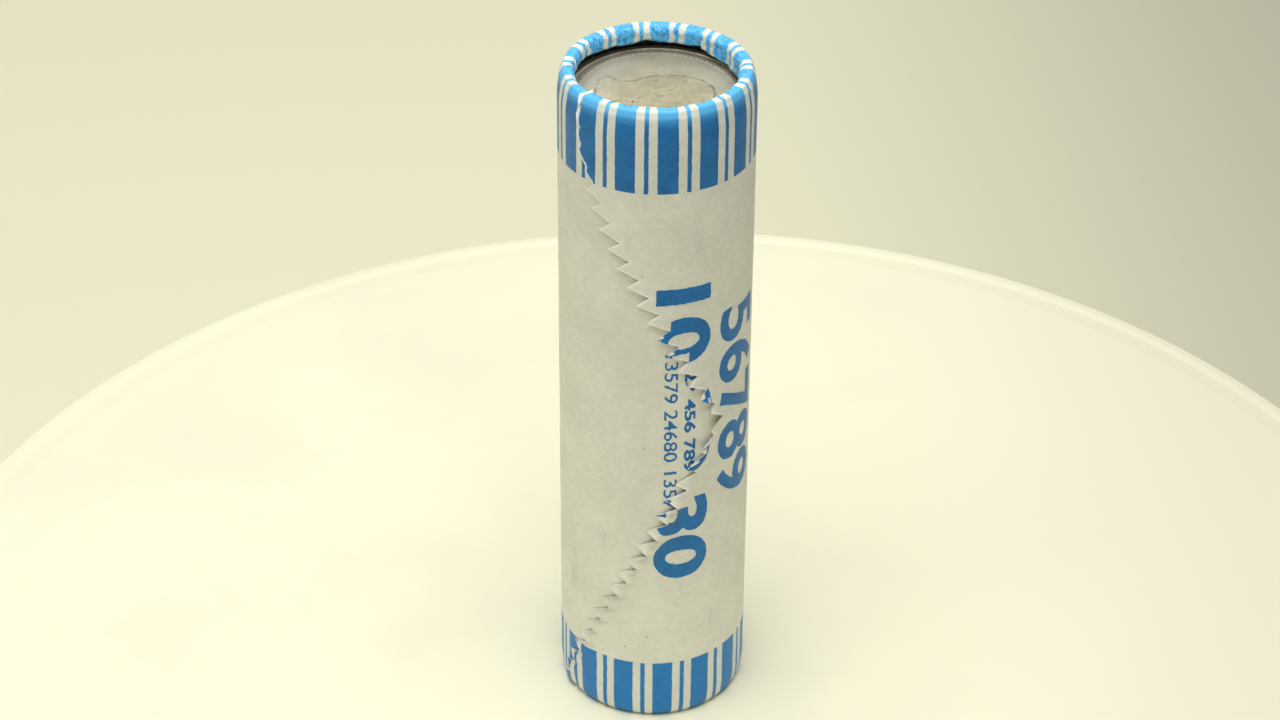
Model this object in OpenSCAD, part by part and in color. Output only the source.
// Paper roll of coins: a stack of like coins in a wound paper wrapper with rolled ends.
// The roll stands on its lower end, with the origin at the middle of that end and +Z along its axis.

/* [Coins] */
// Diameter of one coin
coin_d = 21.21; // [17.9:0.01:30.6]
// Thickness of one coin over its rims
coin_t = 1.95; // [1.3:0.01:2.4]
// Number of coins in the roll
coin_count = 40; // [10:1:50]
// Width of the raised rim on each face
rim_w = 0.9; // [0.4:0.05:1.6]
// Depth of the field below the rim
field_depth = 0.16; // [0.05:0.01:0.3]
// Radial run of the slope from the rim down to the field
field_slope = 0.3; // [0.1:0.05:0.6]
// Rounding of the rim's outer edge
edge_round = 0.15; // [0.05:0.01:0.3]

/* [Paper] */
// Thickness of the paper
paper_t = 0.11; // [0.06:0.01:0.16]
// Full turns of paper round the coins
plies = 3; // [2:1:4]
// Radial slack between the coins and the innermost ply
coin_slack = 0.08; // [0.05:0.01:0.2]

/* [Rolled ends] */
// Radial width of the rolled bead
bead_w = 2.1; // [1.7:0.05:2.6]
// Height of the lower bead between its pressed faces
bead_h = 2.55; // [2.1:0.05:4]
// Height of the upper bead, which reaches down to the stack
upper_bead_h = 3.4; // [2.1:0.05:4.5]
// Depth by which each face of the bead is pressed flat
bead_press = 0.05; // [0.02:0.01:0.1]
// Gap between the tucked edge of the paper and the wall
tuck_gap = 0.25; // [0.1:0.05:0.3]
// Axial play of the stack between the two beads
stack_play = 0.45; // [0.3:0.05:3]

/* [Lapped edge] */
// Direction of the notch's apex round the roll, in degrees
notch_angle = 313; // [0:1:359]
// Run of the notch round the roll, from its apex to either end
notch_run = 20.7; // [8:0.1:24]
// Height of one pinked tooth
tooth_pitch = 2.25; // [1.5:0.05:4]
// Depth of one pinked tooth round the roll
tooth_depth = 1.95; // [0.6:0.05:3]

/* [Hidden] */
$fn = 96;
paper_color = [0.82, 0.80, 0.71];
coin_color = [0.63, 0.60, 0.54];
wall = plies * paper_t;
inner_r = coin_d / 2 + coin_slack;
outer_r = inner_r + wall;
roll_h = coin_count * coin_t + bead_h + upper_bead_h + stack_play;
bead_r = bead_w / 2;
// Height of the centre of a bead's outer round side above its pressed face
bead_low = bead_r - bead_press;
// The lapped ply is cut square to the direction that halves its span round the roll
lap_r = outer_r + paper_t / 2;
lap_span = notch_run + tooth_depth + tooth_pitch;
lap_angle = lap_span / lap_r * 180 / PI;
half_teeth = ceil(roll_h / 2 / tooth_pitch);
past = 1;

function coin_name(i) = str("coin_", i < 10 ? "0" : "", i);
function coin_z(i) = bead_h + (i - 1) * coin_t;

// Height of the centre of the inner round side of a bead of height h
function bead_high(h) = h + bead_press - bead_r;

// Run of the notch round the roll at tooth number k, counted from the apex
function notch_at(k) = notch_run * abs(k) * tooth_pitch / (roll_h / 2);

// A point of the cut edge at a run round the roll, seen along the cutting direction
function cut_point(run, k) =
  [lap_r * sin(lap_angle / 2 - run / lap_r * 180 / PI), roll_h / 2 + k * tooth_pitch];

function pinked_edge() =
  [for (k = [-half_teeth : half_teeth]) each [
    cut_point(notch_at(k), k),
    cut_point(notch_at(k + 0.5) + tooth_depth, k + 0.5)
  ]];

// Upright shape with round ends, for a bead of height h or for its hollow
module bead_outline(mid_r, radius, h) {
  translate([mid_r, bead_low])
    circle(radius);
  translate([mid_r, bead_high(h)])
    circle(radius);
  translate([mid_r - radius, bead_low])
    square([2 * radius, bead_high(h) - bead_low]);
}

// Section of a bead of height h: the paper rolled inward, with its edge tucked in above the hollow
module bead_section(r, h) {
  intersection() {
    translate([r - bead_w, 0])
      square([bead_w, h]);
    difference() {
      bead_outline(r - bead_r, bead_r, h);
      bead_outline(r - bead_r, bead_r - wall, h);
      translate([r - wall - tuck_gap, bead_high(h)])
        square([tuck_gap, h]);
    }
  }
}

// Section of the wrapper with outer radius r: the wall and both beads
module wrapper_section(r) {
  translate([r - wall, bead_low])
    square([wall, roll_h - 2 * bead_low]);
  bead_section(r, bead_h);
  translate([0, roll_h])
    mirror([0, 1])
      bead_section(r, upper_bead_h);
}

// Outside of the wall and the shoulders of both beads, filled in to the middle of the bead
module shoulder_section(r) {
  intersection() {
    union() {
      translate([r - bead_r, bead_low])
        square([bead_r, roll_h - 2 * bead_low]);
      for (z = [bead_low, roll_h - bead_low])
        translate([r - bead_r, z])
          circle(bead_r);
    }
    translate([r - bead_r, 0])
      square([bead_r, roll_h]);
  }
}

// The outermost ply where it laps over the turn below, with its notched and pinked end
module lapped_ply() {
  intersection() {
    rotate(-lap_angle)
      rotate_extrude(angle = lap_angle)
        difference() {
          shoulder_section(outer_r + paper_t);
          shoulder_section(outer_r - paper_t / 2);
        }
    rotate(90 - lap_angle / 2)
      rotate([90, 0, 0])
        linear_extrude(outer_r + past)
          polygon(concat(pinked_edge(), [[outer_r + past, roll_h + past], [outer_r + past, -past]]));
  }
}

// Half a turn of the wound wrapper, as a true half tube with its beads
module half_turn(r) {
  rotate_extrude(angle = 180)
    wrapper_section(r);
}

// The sheet winds outward clockwise, in half turns about two centres half a ply apart
module wrapper() {
  color(paper_color)
    rotate(notch_angle) {
      union() {
        rotate(180)
          half_turn(outer_r);
        lapped_ply();
      }
      translate([paper_t / 2, 0, 0])
        half_turn(outer_r + paper_t / 2);
    }
}

// Half section of a coin: a disc with round edges and a sunk field on each face
module coin_section() {
  coin_r = coin_d / 2;
  rim_r = coin_r - rim_w;
  difference() {
    union() {
      square([coin_r - edge_round, coin_t]);
      translate([0, edge_round])
        square([coin_r, coin_t - 2 * edge_round]);
      for (z = [edge_round, coin_t - edge_round])
        translate([coin_r - edge_round, z])
          circle(edge_round);
    }
    for (face = [0, 1])
      translate([0, face * coin_t])
        mirror([0, face])
          polygon([[0, field_depth], [rim_r - field_slope, field_depth], [rim_r, 0], [rim_r, -past], [0, -past]]);
  }
}

// Coin number i, counted from the lower end, lying on the one below
module coin(i) {
  color(coin_color)
    translate([0, 0, coin_z(i)])
      rotate_extrude()
        coin_section();
}

wrapper();
for (i = [1 : coin_count])
  coin(i);
